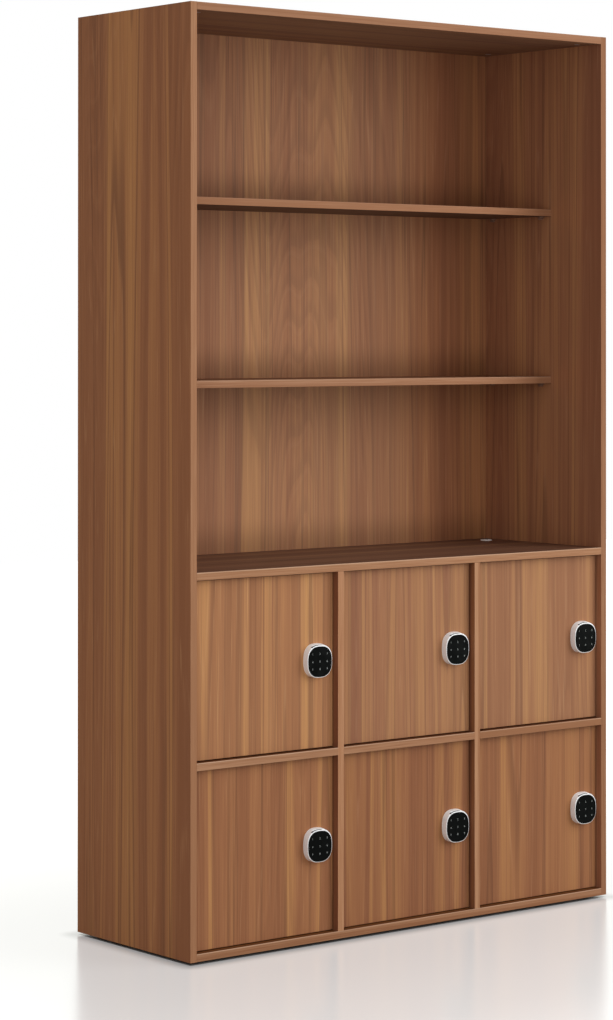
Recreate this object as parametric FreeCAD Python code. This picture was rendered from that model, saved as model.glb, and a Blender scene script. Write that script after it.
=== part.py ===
import FreeCAD, Part
import math
import os

# Office cabinet in millimetres: three open bays over six lockers with keypad locks.
# X runs to the right, Y to the back and Z up. The origin is the middle of the footprint, on the floor.

Vec = FreeCAD.Vector
os.makedirs("parts", exist_ok=True)

# Carcass
cabinet_width = 1200.0
cabinet_depth = 415.0
cabinet_height = 2000.0
board = 16.5
back_board = 16.5
edge_round = 0.8
bay_count = 3
row_count = 5
locker_rows = 2
shelf_depth = 230.0
shelf_end_gap = 0.5

# Doors: inset, and set back from the front plane
door_board = 16.5
door_gap = 2.0
door_recess = 16.0

# Hinges: cup in the door, goose-neck arm on the wall to the left of the door
hinge_inset = 80.0
pin_from_edge = 12.5
pin_from_face = 6.5
pin_radius = 1.2
pin_clearance = 0.05
pin_overhang = 0.5
cup_radius = 17.4
cup_bore_radius = 17.5
cup_bore_depth = 13.0
cup_from_edge = 22.5
cup_wall = 0.7
flange_thick = 1.0
flange_rim = 1.5
wing_reach = 27.0
wing_radius = 5.0
wing_slope_share = 0.6
ear_thick = 1.2
ear_inside = 7.0
ear_radius = 2.3
arm_thick = 2.4
arm_half_height = 5.5
arm_hub_radius = 2.0
arm_bend_radius = 0.8
hook_reach = 13.0
swing_clearance = 0.8
plate_thick = 2.0
plate_start = 13.0
plate_length = 44.0
plate_half_height = 8.0
plate_wing_reach = 24.0
plate_wing_radius = 6.0
plate_wing_place = 30.5
plate_screw_radius = 2.2
arm_tail_length = 56.0
arm_end_round = 4.0

# Keypad locks
lock_from_edge = 47.5
face_width = 64.8
face_height = 65.6
face_below_middle = 1.2
face_thick = 2.0
face_clearance = 0.15
side_curve_share = 1.16
end_curve_share = 1.18
corner_curve_share = 0.385
housing_depth = 15.5
rim_round = 1.1
rim_steps = 3
rim_width = 1.4
rim_top_width = 3.2
crest_rise = 2.6
grip_lip = 2.6
grip_width = 4.0
grip_reach = 22.0
grip_depth = 2.4
spigot_radius = 10.0
spigot_clearance = 0.3
case_width = 60.0
case_height = 90.0
case_depth = 20.0
case_from_edge = 14.0
case_corner = 9.0
case_round = 2.5
lid_margin = 6.0
lid_height = 52.0
lid_groove = 0.8
bolt_guided = 24.0
bolt_height = 12.0
bolt_thick = 9.0
bolt_clearance = 0.3
bolt_nose = 2.0
bolt_proud = 1.0
bolt_travel = 9.0

# Strike plates, which are also the door stops
stop_gap = 0.3
strike_lug_thick = 2.0
strike_lug_reach = 11.0
strike_lug_half_height = 12.0
strike_foot_thick = 1.5
strike_foot_length = 28.0
strike_foot_half_height = 20.0
strike_round = 3.0
strike_screw_radius = 2.0
strike_screw_place = 14.0

# Joinery
dowel_radius = 4.0
dowel_length = 30.0
dowel_seat = 7.5
dowel_chamfer = 0.8
dowel_inset = 60.0
cam_radius = 7.5
cam_height = 12.5
cam_from_end = 34.0
cam_inset = 45.0
cam_slot_width = 2.0
cam_slot_depth = 2.5
slot_reach_share = 0.7
cam_bolt_radius = 2.8
cam_bolt_head_radius = 3.6
cam_bolt_head_length = 4.0
cam_bolt_seat = 10.0
cam_bolt_bore_radius = 4.1
cam_head_clearance = 0.3
back_dowel_rows = 5

# Shelf pins, glides and cable grommet
shelf_pin_radius = 2.5
shelf_pin_seat = 8.0
shelf_pin_inset = 30.0
shelf_pin_pad_length = 12.0
shelf_pin_pad_width = 14.0
shelf_pin_pad_thick = 3.0
shelf_pin_pad_round = 4.0
glide_height = 5.5
glide_radius = 14.0
glide_foot_radius = 11.5
glide_inset = 30.0
glide_nail_radius = 1.6
glide_nail_length = 12.0
grommet_radius = 14.0
grommet_bore_radius = 11.0
grommet_wall = 1.5
grommet_flange = 2.6
flange_edge_share = 0.45
grommet_from_side = 52.0
grommet_from_back = 58.0
grommet_cap_thick = 1.8
grommet_clearance = 0.2
grommet_finger_radius = 3.0

# Overrun that every cut runs past the face it opens
overrun = 1.0

# Places worked out from the sizes above
half_width = cabinet_width / 2
front = -cabinet_depth / 2
rear = cabinet_depth / 2
wall = half_width - board
back_face = rear - back_board
base = glide_height
bay_width = (2 * wall - (bay_count - 1) * board) / bay_count
row_height = (cabinet_height - base - (row_count + 1) * board) / row_count
door_width = bay_width - 2 * door_gap
door_height = row_height - 2 * door_gap
door_face = front + door_recess
door_back = door_face + door_board
pin_y = door_face + pin_from_face
cup_floor = door_back - cup_bore_depth
bolt_length = bolt_guided + bolt_travel + bolt_proud

column_names = ["left", "centre", "right"]
row_names = ["lower", "upper"]


def boardBottom(level):
    """Height of the underside of a horizontal board, counted from the bottom panel at level 0."""
    return base + level * (row_height + board)


def bayLeft(bay):
    """X of the left wall of a bay."""
    return -wall + bay * (bay_width + board)


def block(x0, x1, y0, y1, z0, z1):
    return Part.makeBox(x1 - x0, y1 - y0, z1 - z0, Vec(x0, y0, z0))


def cylinder(radius, start, direction, length):
    return Part.makeCylinder(radius, length, start, direction)


def mirrored(shape):
    """The same shape on the other side of the cabinet."""
    return shape.mirror(Vec(0, 0, 0), Vec(1, 0, 0))


def fuseAll(shapes):
    joined = shapes[0]
    for shape in shapes[1:]:
        joined = joined.fuse(shape)
    return joined.removeSplitter()


def cutAll(shape, tools):
    return shape.cut(Part.makeCompound(tools)) if tools else shape


def save(name, shapes):
    shape = shapes[0] if len(shapes) == 1 else Part.makeCompound(shapes)
    shape.exportStep("parts/" + name + ".step")


def isLevel(edge, axis, value):
    """True where the whole edge lies at one value of an axis, 0 for X, 1 for Y and 2 for Z."""
    return all(abs(vertex.Point[axis] - value) < edge_round / 10 for vertex in edge.Vertexes)


def roundFrontEdges(shape, y, run_axis):
    """Round the long edges of a board's banded front edge, which run along one axis."""
    chosen = []
    for edge in shape.Edges:
        direction = edge.Vertexes[-1].Point - edge.Vertexes[0].Point
        if isLevel(edge, 1, y) and abs(direction[run_axis]) > abs(direction[2 - run_axis]):
            chosen.append(edge)
    return shape.makeFillet(edge_round, chosen)


# Joinery: places of dowels and cam fasteners

def endDowel(x_joint, y, z, side):
    """A dowel across a joint at X, long end on the board's side (side is 1 when the board is at +X)."""
    seat = x_joint - side * dowel_seat
    body = cylinder(dowel_radius, Vec(seat, y, z), Vec(side, 0, 0), dowel_length)
    return body.makeChamfer(dowel_chamfer, [e for e in body.Edges if e.Closed])


def uprightDowel(x, y, z_joint, side):
    """A dowel across a joint at Z, long end in the upright (side is 1 when the upright is above)."""
    seat = z_joint - side * dowel_seat
    body = cylinder(dowel_radius, Vec(x, y, seat), Vec(0, 0, side), dowel_length)
    return body.makeChamfer(dowel_chamfer, [e for e in body.Edges if e.Closed])


def camDrum(x, y, z):
    """A cam drum with its slotted face down, bored for the head of its bolt on the side of the wall."""
    drum = cylinder(cam_radius, Vec(x, y, z), Vec(0, 0, 1), cam_height)
    slot = block(x - cam_radius * slot_reach_share, x + cam_radius * slot_reach_share,
                 y - cam_slot_width / 2, y + cam_slot_width / 2, z - overrun, z + cam_slot_depth)
    cross = block(x - cam_slot_width / 2, x + cam_slot_width / 2,
                  y - cam_radius * slot_reach_share, y + cam_radius * slot_reach_share,
                  z - overrun, z + cam_slot_depth)
    outward = math.copysign(1, x)
    reach = cam_bolt_head_length / 2 + cam_head_clearance
    pocket = cylinder(cam_bolt_head_radius + cam_head_clearance, Vec(x - outward * reach, y, z + board / 2),
                      Vec(outward, 0, 0), cam_radius + reach + overrun)
    return cutAll(drum, [slot, cross, pocket])


def camBolt(x, y, z):
    """The bolt from the side panel to the drum, with its collar head inside the drum."""
    outward = math.copysign(1, x)
    start = Vec(x - outward * cam_bolt_head_length / 2, y, z + board / 2)
    length = abs(outward * wall - start.x) + cam_bolt_seat
    shank = cylinder(cam_bolt_radius, start, Vec(outward, 0, 0), length)
    head = cylinder(cam_bolt_head_radius, start, Vec(outward, 0, 0), cam_bolt_head_length)
    return fuseAll([shank, head])


mid_depth = (front + back_face) / 2
cam_y_places = [front + cam_inset, back_face - cam_inset]
dowel_y_places = [front + dowel_inset, back_face - dowel_inset]
cam_levels = [0, locker_rows, row_count]
cam_places = []
side_dowels = []
for level in cam_levels:
    for side in (-1, 1):
        side_dowels.append((side * wall, mid_depth, boardBottom(level) + board / 2, -side))
        for y in cam_y_places:
            cam_places.append((side * (wall - cam_from_end), y, boardBottom(level)))

locker_dowels = []
for bay in range(bay_count):
    for y in dowel_y_places:
        z = boardBottom(1) + board / 2
        locker_dowels.append((bayLeft(bay), y, z, 1))
        locker_dowels.append((bayLeft(bay) + bay_width, y, z, -1))

back_dowels = []
back_step = (boardBottom(row_count) - boardBottom(0)) / back_dowel_rows
for row in range(back_dowel_rows):
    z = boardBottom(0) + board / 2 + (row + 1 / 2) * back_step
    for side in (-1, 1):
        back_dowels.append((side * wall, rear - back_board / 2, z, -side))

divider_centres = [bayLeft(bay) - board / 2 for bay in range(1, bay_count)]
divider_bottom = boardBottom(0) + board
divider_top = boardBottom(locker_rows)
divider_dowels = []
for x in divider_centres:
    for y in dowel_y_places:
        divider_dowels.append((x, y, divider_bottom, 1))
        divider_dowels.append((x, y, divider_top, -1))

end_dowels = [endDowel(*place) for place in side_dowels + locker_dowels + back_dowels]
upright_dowels = [uprightDowel(*place) for place in divider_dowels]
all_dowels = end_dowels + upright_dowels
cam_bolts = [camBolt(*place) for place in cam_places]


def camBores(x, y, z):
    """The drum bore in a board's underside and the bolt bore in from its end."""
    outward = math.copysign(1, x)
    drum = cylinder(cam_radius, Vec(x, y, z - overrun), Vec(0, 0, 1), cam_height + overrun)
    run = cylinder(cam_bolt_bore_radius, Vec(x, y, z + board / 2), Vec(outward, 0, 0),
                   cam_from_end + overrun)
    return [drum, run]


def near(shape, tools):
    """Only the tools whose boxes reach into the shape's box."""
    box = shape.BoundBox
    return [tool for tool in tools if box.intersect(tool.BoundBox)]


# Shelf pins

def pinPlaces(level):
    """Y and Z of the pins under an open shelf."""
    z = boardBottom(level)
    return [(back_face - shelf_depth + shelf_pin_inset, z), (back_face - shelf_pin_inset, z)]


def shelfPin(side, y, z):
    """A pin in the side panel with a rounded pad that carries the shelf."""
    stem_z = z - shelf_pin_pad_thick - shelf_pin_radius
    stem = cylinder(shelf_pin_radius, Vec(wall + shelf_pin_seat, y, stem_z), Vec(-1, 0, 0),
                    shelf_pin_seat + shelf_pin_pad_length)
    pad = block(wall - shelf_pin_pad_length, wall, y - shelf_pin_pad_width / 2, y + shelf_pin_pad_width / 2,
                z - shelf_pin_pad_thick, z)
    corners = [e for e in pad.Edges if isLevel(e, 0, wall - shelf_pin_pad_length)
               and not isLevel(e, 2, z) and not isLevel(e, 2, z - shelf_pin_pad_thick)]
    pad = pad.makeFillet(shelf_pin_pad_round, corners)
    web = block(wall - shelf_pin_pad_length, wall, y - shelf_pin_radius / 2, y + shelf_pin_radius / 2,
                stem_z, z - shelf_pin_pad_thick)
    pin = fuseAll([stem, web, pad])
    return pin if side > 0 else mirrored(pin)


open_levels = list(range(locker_rows + 1, row_count))
shelf_pins = [shelfPin(side, y, z) for level in open_levels for y, z in pinPlaces(level) for side in (-1, 1)]


# Carcass boards

def sidePanel(side):
    panel = block(wall, half_width, front, rear, base, cabinet_height)
    panel = roundFrontEdges(panel, front, 2)
    if side < 0:
        panel = mirrored(panel)
    return cutAll(panel, near(panel, all_dowels + cam_bolts + shelf_pins))


def crossBoard(level):
    """A fixed board between the side panels: bottom panel, fixed shelf or top panel."""
    z = boardBottom(level)
    depth_end = rear if level in (0, row_count) else back_face
    panel = roundFrontEdges(block(-wall, wall, front, depth_end, z, z + board), front, 0)
    bores = [bore for place in cam_places if place[2] == z for bore in camBores(*place)]
    return cutAll(panel, near(panel, all_dowels) + bores)


def fixedShelf():
    shelf = crossBoard(locker_rows)
    x, y, top = grommetPlace()
    hole = cylinder(grommet_bore_radius + grommet_wall, Vec(x, y, top + overrun), Vec(0, 0, -1),
                    board + 2 * overrun)
    return shelf.cut(hole)


def openShelf(level):
    z = boardBottom(level)
    reach = wall - shelf_end_gap
    return roundFrontEdges(block(-reach, reach, back_face - shelf_depth, back_face, z, z + board),
                           back_face - shelf_depth, 0)


def lockerShelf(bay):
    x = bayLeft(bay)
    z = boardBottom(1)
    panel = roundFrontEdges(block(x, x + bay_width, front, back_face, z, z + board), front, 0)
    return cutAll(panel, near(panel, all_dowels))


def divider(x):
    panel = block(x - board / 2, x + board / 2, front, back_face, divider_bottom, divider_top)
    panel = roundFrontEdges(panel, front, 2)
    return cutAll(panel, near(panel, all_dowels))


def backPanel():
    panel = block(-wall, wall, back_face, rear, boardBottom(0) + board, boardBottom(row_count))
    return cutAll(panel, near(panel, all_dowels))


# Cable grommet in the fixed shelf, closed by its cap

def grommetPlace():
    return wall - grommet_from_side, back_face - grommet_from_back, boardBottom(locker_rows) + board


def grommetSleeve():
    x, y, top = grommetPlace()
    outer = grommet_bore_radius + grommet_wall
    points = [Vec(grommet_bore_radius, 0, -board), Vec(outer, 0, -board), Vec(outer, 0, 0),
              Vec(grommet_radius, 0, 0), Vec(grommet_radius, 0, grommet_flange * flange_edge_share),
              Vec(outer, 0, grommet_flange), Vec(grommet_bore_radius, 0, grommet_flange)]
    profile = Part.Face(Part.makePolygon(points + points[:1]))
    sleeve = profile.revolve(Vec(0, 0, 0), Vec(0, 0, 1), 360)
    sleeve.translate(Vec(x, y, top))
    return sleeve


def grommetCap():
    """A disc let into the sleeve on a thin ledge of its own skirt, with a finger notch at its rim."""
    x, y, top = grommetPlace()
    radius = grommet_bore_radius - grommet_clearance
    z = top + grommet_flange - grommet_cap_thick
    disc = cylinder(radius, Vec(x, y, z), Vec(0, 0, 1), grommet_cap_thick)
    skirt = cylinder(radius, Vec(x, y, z - 2 * grommet_cap_thick), Vec(0, 0, 1), 2 * grommet_cap_thick)
    hollow = cylinder(radius - grommet_wall, Vec(x, y, z - 2 * grommet_cap_thick), Vec(0, 0, 1),
                      2 * grommet_cap_thick)
    notch = cylinder(grommet_finger_radius, Vec(x, y - radius, z - overrun), Vec(0, 0, 1),
                     grommet_cap_thick + 2 * overrun)
    return disc.cut(notch).fuse(skirt.cut(hollow)).removeSplitter()


# Glides

def glide(x, y):
    """A low tapered foot with a nail in the bottom panel."""
    foot = Part.makeCone(glide_foot_radius, glide_radius, glide_height, Vec(x, y, 0), Vec(0, 0, 1))
    nail = cylinder(glide_nail_radius, Vec(x, y, 0), Vec(0, 0, 1), glide_height + glide_nail_length)
    return fuseAll([foot, nail])


glide_x_places = [-wall + glide_inset, wall - glide_inset] + divider_centres
glides = [glide(x, y) for x in glide_x_places for y in (front + glide_inset, rear - glide_inset)]


# Hinges. A hinge is built at its pin, with the door's left edge at -pin_from_edge, then moved to its place.

wall_x = -pin_from_edge - door_gap
back_y = door_board - pin_from_face
left_corner_reach = math.hypot(pin_from_edge, back_y)
hook_radius = left_corner_reach + swing_clearance
cup_x = cup_from_edge - pin_from_edge
floor_y = back_y - cup_bore_depth


def hingeCup():
    """A pressed cup with a winged flange and two ears that turn on the pin."""
    centre = Vec(cup_x, back_y, 0)
    down = Vec(0, -1, 0)
    shell = cylinder(cup_radius, centre, down, cup_bore_depth)
    flange = cylinder(cup_radius + flange_rim, centre, Vec(0, 1, 0), flange_thick)
    wings = []
    for side in (-1, 1):
        tip = Vec(cup_x, 0, side * wing_reach)
        neck = wing_reach * wing_slope_share
        half = wing_radius
        points = [Vec(cup_x - half, back_y, side * wing_reach), Vec(cup_x - 2 * half, back_y, side * neck),
                  Vec(cup_x + 2 * half, back_y, side * neck), Vec(cup_x + half, back_y, side * wing_reach)]
        wing = Part.Face(Part.makePolygon(points + points[:1])).extrude(Vec(0, flange_thick, 0))
        wings.append(wing)
        wings.append(cylinder(wing_radius, Vec(tip.x, back_y, tip.z), Vec(0, 1, 0), flange_thick))
    body = fuseAll([shell, flange] + wings)
    hollow = cylinder(cup_radius - cup_wall, centre + Vec(0, flange_thick + overrun, 0), down,
                      cup_bore_depth - cup_wall + flange_thick + overrun)
    holes = [cylinder(plate_screw_radius, Vec(cup_x, back_y - overrun, side * wing_reach), Vec(0, 1, 0),
                      flange_thick + 2 * overrun) for side in (-1, 1)]
    body = cutAll(body, [hollow] + holes)
    inner_floor = floor_y + cup_wall
    for side in (-1, 1):
        near_z = side * ear_inside
        start = Vec(0, 0, near_z)
        knuckle = cylinder(ear_radius, start, Vec(0, 0, side), ear_thick)
        low_z = min(near_z, near_z + side * ear_thick)
        root = block(-ear_radius, ear_radius, inner_floor - cup_wall / 2, 0, low_z, low_z + ear_thick)
        body = body.fuse(fuseAll([knuckle, root]))
    bore = cylinder(pin_radius + pin_clearance, Vec(0, 0, -cup_radius / 2), Vec(0, 0, 1), cup_radius)
    floor_guard = block(-ear_radius, ear_radius, floor_y, inner_floor, -cup_radius / 2, cup_radius / 2)
    return body.cut(bore.cut(floor_guard)).removeSplitter()


def hingePin():
    half = ear_inside + ear_thick + pin_overhang
    return cylinder(pin_radius, Vec(0, 0, -half), Vec(0, 0, 1), 2 * half)


def hingeArm():
    """A goose-neck strip: hub on the pin, out of the cup round the door's edge, and back along the wall."""
    inner = hook_radius
    outer = hook_radius + arm_thick
    hub = arm_hub_radius
    x_in = hook_reach
    x_out = hook_reach + arm_thick
    y_turn = math.sqrt(inner ** 2 - x_in ** 2)
    y_turn_out = math.sqrt(outer ** 2 - x_out ** 2)
    tail_in = wall_x + plate_thick
    tail_out = tail_in + arm_thick
    end_y = back_y + arm_tail_length

    def arcThrough(a, b, c):
        return Part.Arc(a, b, c).toShape()

    def line(a, b):
        return Part.LineSegment(a, b).toShape()

    def onCircle(radius, start, end):
        turn = (math.atan2(start.y, start.x) + math.atan2(end.y, end.x)) / 2
        return Vec(radius * math.cos(turn), radius * math.sin(turn), 0)

    top_in = Vec(0, inner, 0)
    top_out = Vec(0, outer, 0)
    turn_in = Vec(x_in, y_turn, 0)
    turn_out = Vec(x_out, y_turn_out, 0)
    low = -hub
    floor_top = low + arm_thick
    bend = arm_bend_radius
    corner = bend + arm_thick
    quarter = math.sqrt(1 / 2)
    wall_corner = Vec(tail_in + corner, inner + corner, 0)
    edges = [
        line(Vec(0, low, 0), Vec(x_out - corner, low, 0)),
        arcThrough(Vec(x_out - corner, low, 0),
                   Vec(x_out - corner + corner * quarter, low + corner - corner * quarter, 0),
                   Vec(x_out, low + corner, 0)),
        line(Vec(x_out, low + corner, 0), turn_out),
        arcThrough(turn_out, onCircle(outer, turn_out, top_out), top_out),
        line(top_out, Vec(tail_in + corner, outer, 0)),
        arcThrough(Vec(tail_in + corner, outer, 0),
                   Vec(wall_corner.x - bend * quarter, wall_corner.y - bend * quarter, 0),
                   Vec(tail_out, wall_corner.y, 0)),
        line(Vec(tail_out, wall_corner.y, 0), Vec(tail_out, end_y, 0)),
        line(Vec(tail_out, end_y, 0), Vec(tail_in, end_y, 0)),
        line(Vec(tail_in, end_y, 0), Vec(tail_in, wall_corner.y, 0)),
        arcThrough(Vec(tail_in, wall_corner.y, 0),
                   Vec(wall_corner.x - corner * quarter, wall_corner.y - corner * quarter, 0),
                   Vec(tail_in + corner, inner, 0)),
        line(Vec(tail_in + corner, inner, 0), top_in),
        arcThrough(top_in, onCircle(inner, top_in, turn_in), turn_in),
        line(turn_in, Vec(x_in, floor_top + bend, 0)),
        arcThrough(Vec(x_in, floor_top + bend, 0),
                   Vec(x_in - bend + bend * quarter, floor_top + bend - bend * quarter, 0),
                   Vec(x_in - bend, floor_top, 0)),
        line(Vec(x_in - bend, floor_top, 0), Vec(0, floor_top, 0)),
        line(Vec(0, floor_top, 0), Vec(0, low, 0)),
    ]
    strip = Part.Face(Part.Wire(edges)).extrude(Vec(0, 0, 2 * arm_half_height))
    strip.translate(Vec(0, 0, -arm_half_height))
    knuckle = cylinder(hub, Vec(0, 0, -arm_half_height), Vec(0, 0, 1), 2 * arm_half_height)
    bore = cylinder(pin_radius, Vec(0, 0, -cup_radius), Vec(0, 0, 1), 2 * cup_radius)
    ends = [e for e in strip.Edges if isLevel(e, 1, end_y)
            and abs(e.Vertexes[0].X - e.Vertexes[-1].X) > arm_thick / 2]
    strip = strip.makeFillet(arm_end_round, ends)
    screw = cylinder(plate_screw_radius, Vec(tail_in - overrun, back_y + plate_wing_place, 0), Vec(1, 0, 0),
                     arm_thick + 2 * overrun)
    return fuseAll([strip, knuckle]).cut(bore).cut(screw)


def hingePlate():
    """A wing plate flat on the wall: a rail along the arm and two rounded wings with screw holes."""
    start = back_y + plate_start
    rail = block(wall_x, wall_x + plate_thick, start, start + plate_length,
                 -plate_half_height, plate_half_height)
    place = back_y + plate_wing_place
    wings = block(wall_x, wall_x + plate_thick, place - plate_wing_radius, place + plate_wing_radius,
                  -plate_wing_reach, plate_wing_reach)
    tips = [cylinder(plate_wing_radius, Vec(wall_x, place, side * plate_wing_reach),
                     Vec(1, 0, 0), plate_thick) for side in (-1, 1)]
    holes = [cylinder(plate_screw_radius, Vec(wall_x - overrun, place, side * plate_wing_reach),
                      Vec(1, 0, 0), plate_thick + 2 * overrun) for side in (-1, 0, 1)]
    return cutAll(fuseAll([rail, wings] + tips), holes)


# Locks. A lock is built with X and Z from the middle of the keypad face and Y from the door's front face.

def outline(width, height, centre_z, y):
    """A closed outline of eight tangent arcs: flat ones at the sides and ends, tight ones at the corners."""
    side_radius = height * side_curve_share
    end_radius = width * end_curve_share
    corner_radius = width * corner_curve_share
    side_x = width / 2 - side_radius
    end_z = height / 2 - end_radius
    side_reach = side_radius - corner_radius
    end_reach = end_radius - corner_radius
    apart = math.hypot(side_x, end_z)
    along = (side_reach ** 2 - end_reach ** 2 + apart ** 2) / (2 * apart)
    off = math.sqrt(side_reach ** 2 - along ** 2)
    corner_x = side_x - (side_x * along + end_z * off) / apart
    corner_z = (end_z * along - side_x * off) / apart
    side_turn = math.atan2(corner_z, corner_x - side_x)
    end_turn = math.atan2(corner_z - end_z, corner_x)
    middle_turn = (side_turn + end_turn) / 2
    corner = [(side_x + side_radius * math.cos(side_turn), side_radius * math.sin(side_turn)),
              (corner_x + corner_radius * math.cos(middle_turn),
               corner_z + corner_radius * math.sin(middle_turn)),
              (end_radius * math.cos(end_turn), end_z + end_radius * math.sin(end_turn))]
    half = corner + [(0, height / 2)] + [(-x, z) for x, z in reversed(corner)] + [(-width / 2, 0)]
    places = [Vec(x, y, centre_z + z) for x, z in half] + [Vec(-x, y, centre_z - z) for x, z in half]
    places.append(places[0])
    arcs = [Part.Arc(*places[first:first + 3]).toShape() for first in range(0, len(places) - 1, 2)]
    return Part.Wire(arcs)


def lockHousing():
    """A moulded cover, drawn through outlines from its crest at the door to the rounded rim at the face."""
    front_height = face_height + rim_width + rim_top_width
    back_height = front_height + crest_rise
    width = face_width + 2 * rim_width
    face_top = face_height / 2
    front_middle = face_top + rim_top_width - front_height / 2
    back_middle = front_middle + crest_rise / 2
    sections = [outline(width, back_height, back_middle, 0)]
    for step in range(rim_steps + 1):
        turn = math.pi / 2 * step / rim_steps
        inset = rim_round * (1 - math.cos(turn))
        y = rim_round - housing_depth - rim_round * math.sin(turn)
        sections.append(outline(width - 2 * inset, front_height - 2 * inset, front_middle, y))
    body = Part.makeLoft(sections, True, True)
    seat = Part.Face(outline(face_width + 2 * face_clearance, face_height + 2 * face_clearance, 0,
                             -housing_depth - overrun))
    seat = seat.extrude(Vec(0, face_thick + overrun, 0))
    crest = face_top + rim_top_width
    grip = block(-grip_reach, grip_reach, grip_lip - housing_depth, grip_lip + grip_width - housing_depth,
                 crest - grip_depth, crest + crest_rise + overrun)
    spigot = cylinder(spigot_radius, Vec(0, 0, 0), Vec(0, 1, 0), door_board)
    return cutAll(body, [seat, grip]).fuse(spigot).removeSplitter()


def keypadFace():
    plate = Part.Face(outline(face_width, face_height, 0, -housing_depth))
    return plate.extrude(Vec(0, face_thick, 0))


def boltPlace():
    """X of the bolt's tip at rest and Y of its front side, both from the lock's own zero."""
    tip = lock_from_edge - case_from_edge + bolt_proud
    return tip, door_board + stop_gap + strike_lug_thick + bolt_clearance


def lockBolt():
    tip, y = boltPlace()
    bolt = block(tip - bolt_length, tip, y, y + bolt_thick, -bolt_height / 2, bolt_height / 2)
    nose = [e for e in bolt.Edges if isLevel(e, 0, tip)]
    return bolt.makeFillet(bolt_nose, nose)


def lockCase():
    """The inner case with rounded corners, a groove round its battery lid and a channel for the bolt."""
    right = lock_from_edge - case_from_edge
    left = right - case_width
    half = case_height / 2
    y0 = door_board
    y1 = door_board + case_depth
    body = block(left, right, y0, y1, -half, half)
    upright = [e for e in body.Edges if not isLevel(e, 1, y0) and not isLevel(e, 1, y1)]
    body = body.makeFillet(case_corner, upright)
    body = body.makeFillet(case_round, [e for e in body.Edges if isLevel(e, 1, y1)])
    lid_left = left + lid_margin
    lid_right = right - lid_margin
    lid_low = -half + lid_margin
    lid_high = lid_low + lid_height
    groove = block(lid_left, lid_right, y1 - lid_groove, y1 + overrun, lid_low, lid_high)
    core = block(lid_left + lid_groove, lid_right - lid_groove, y1 - 2 * lid_groove, y1 + 2 * overrun,
                 lid_low + lid_groove, lid_high - lid_groove)
    tip, y = boltPlace()
    free = bolt_clearance
    channel = block(tip - bolt_length - free, right + overrun, y - free, y + bolt_thick + free,
                    -bolt_height / 2 - free, bolt_height / 2 + free)
    return cutAll(body, [groove.cut(core), channel])


def strikePlate():
    """An angle behind the door's free edge. The bolt goes behind its lug and the door stops on it."""
    face = lock_from_edge + door_gap
    y0 = door_board + stop_gap
    foot = block(face - strike_foot_thick, face, y0, y0 + strike_foot_length,
                 -strike_foot_half_height, strike_foot_half_height)
    corners = [e for e in foot.Edges if isLevel(e, 1, y0 + strike_foot_length)
               and abs(e.Vertexes[0].X - e.Vertexes[-1].X) > strike_foot_thick / 2]
    foot = foot.makeFillet(strike_round, corners)
    lug = block(face - strike_lug_reach, face - strike_foot_thick, y0, y0 + strike_lug_thick,
                -strike_lug_half_height, strike_lug_half_height)
    tips = [e for e in lug.Edges if isLevel(e, 0, face - strike_lug_reach)
            and abs(e.Vertexes[0].Y - e.Vertexes[-1].Y) > strike_lug_thick / 2]
    lug = lug.makeFillet(strike_round, tips)
    hole_y = y0 + strike_foot_length / 2
    holes = [cylinder(strike_screw_radius, Vec(face - strike_foot_thick - overrun, hole_y,
                                               side * strike_screw_place), Vec(1, 0, 0),
                      strike_foot_thick + 2 * overrun) for side in (-1, 1)]
    return cutAll(fuseAll([foot, lug]), holes)


# Doors

def doorPanel(x, z):
    """An inset door with all its front edges rounded, bored for two hinge cups and the lock's spigot."""
    panel = block(x, x + door_width, door_face, door_back, z, z + door_height)
    panel = panel.makeFillet(edge_round, [e for e in panel.Edges if isLevel(e, 1, door_face)])
    bores = [cylinder(cup_bore_radius, Vec(x + cup_from_edge, cup_floor, height), Vec(0, 1, 0),
                      cup_bore_depth + overrun) for height in hingeHeights(z)]
    spigot = cylinder(spigot_radius + spigot_clearance,
                      lockPlace(x, door_face - overrun, z),
                      Vec(0, 1, 0), door_board + 2 * overrun)
    return cutAll(panel, bores + [spigot])


def hingeHeights(z):
    return [z + hinge_inset, z + door_height - hinge_inset]


def lockPlace(x, y, z):
    """Middle of the keypad face, for a door whose lower left corner is at x and z."""
    return Vec(x + door_width - lock_from_edge, y, z + door_height / 2 - face_below_middle)


def placed(shape, place):
    copy = shape.copy()
    copy.translate(place)
    return copy


cup = hingeCup()
pin = hingePin()
arm = hingeArm()
plate = hingePlate()
housing = lockHousing()
face = keypadFace()
case = lockCase()
bolt = lockBolt()
strike = strikePlate()

hinge_pins = []
hinge_arms = []
hinge_plates = []
strike_plates = []
for row, row_name in enumerate(row_names):
    for bay, column_name in enumerate(column_names):
        name = "_" + row_name + "_" + column_name
        x = bayLeft(bay) + door_gap
        z = boardBottom(row) + board + door_gap
        hinge_places = [Vec(x + pin_from_edge, pin_y, height) for height in hingeHeights(z)]
        lock_place = lockPlace(x, door_face, z)
        save("door" + name, [doorPanel(x, z)])
        save("hinge_cups" + name, [placed(cup, place) for place in hinge_places])
        save("lock_housing" + name, [placed(housing, lock_place)])
        save("keypad_face" + name, [placed(face, lock_place)])
        save("lock_case" + name, [placed(case, lock_place)])
        save("lock_bolt" + name, [placed(bolt, lock_place)])
        hinge_pins += [placed(pin, place) for place in hinge_places]
        hinge_arms += [placed(arm, place) for place in hinge_places]
        hinge_plates += [placed(plate, place) for place in hinge_places]
        strike_plates.append(placed(strike, lock_place))

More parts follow.
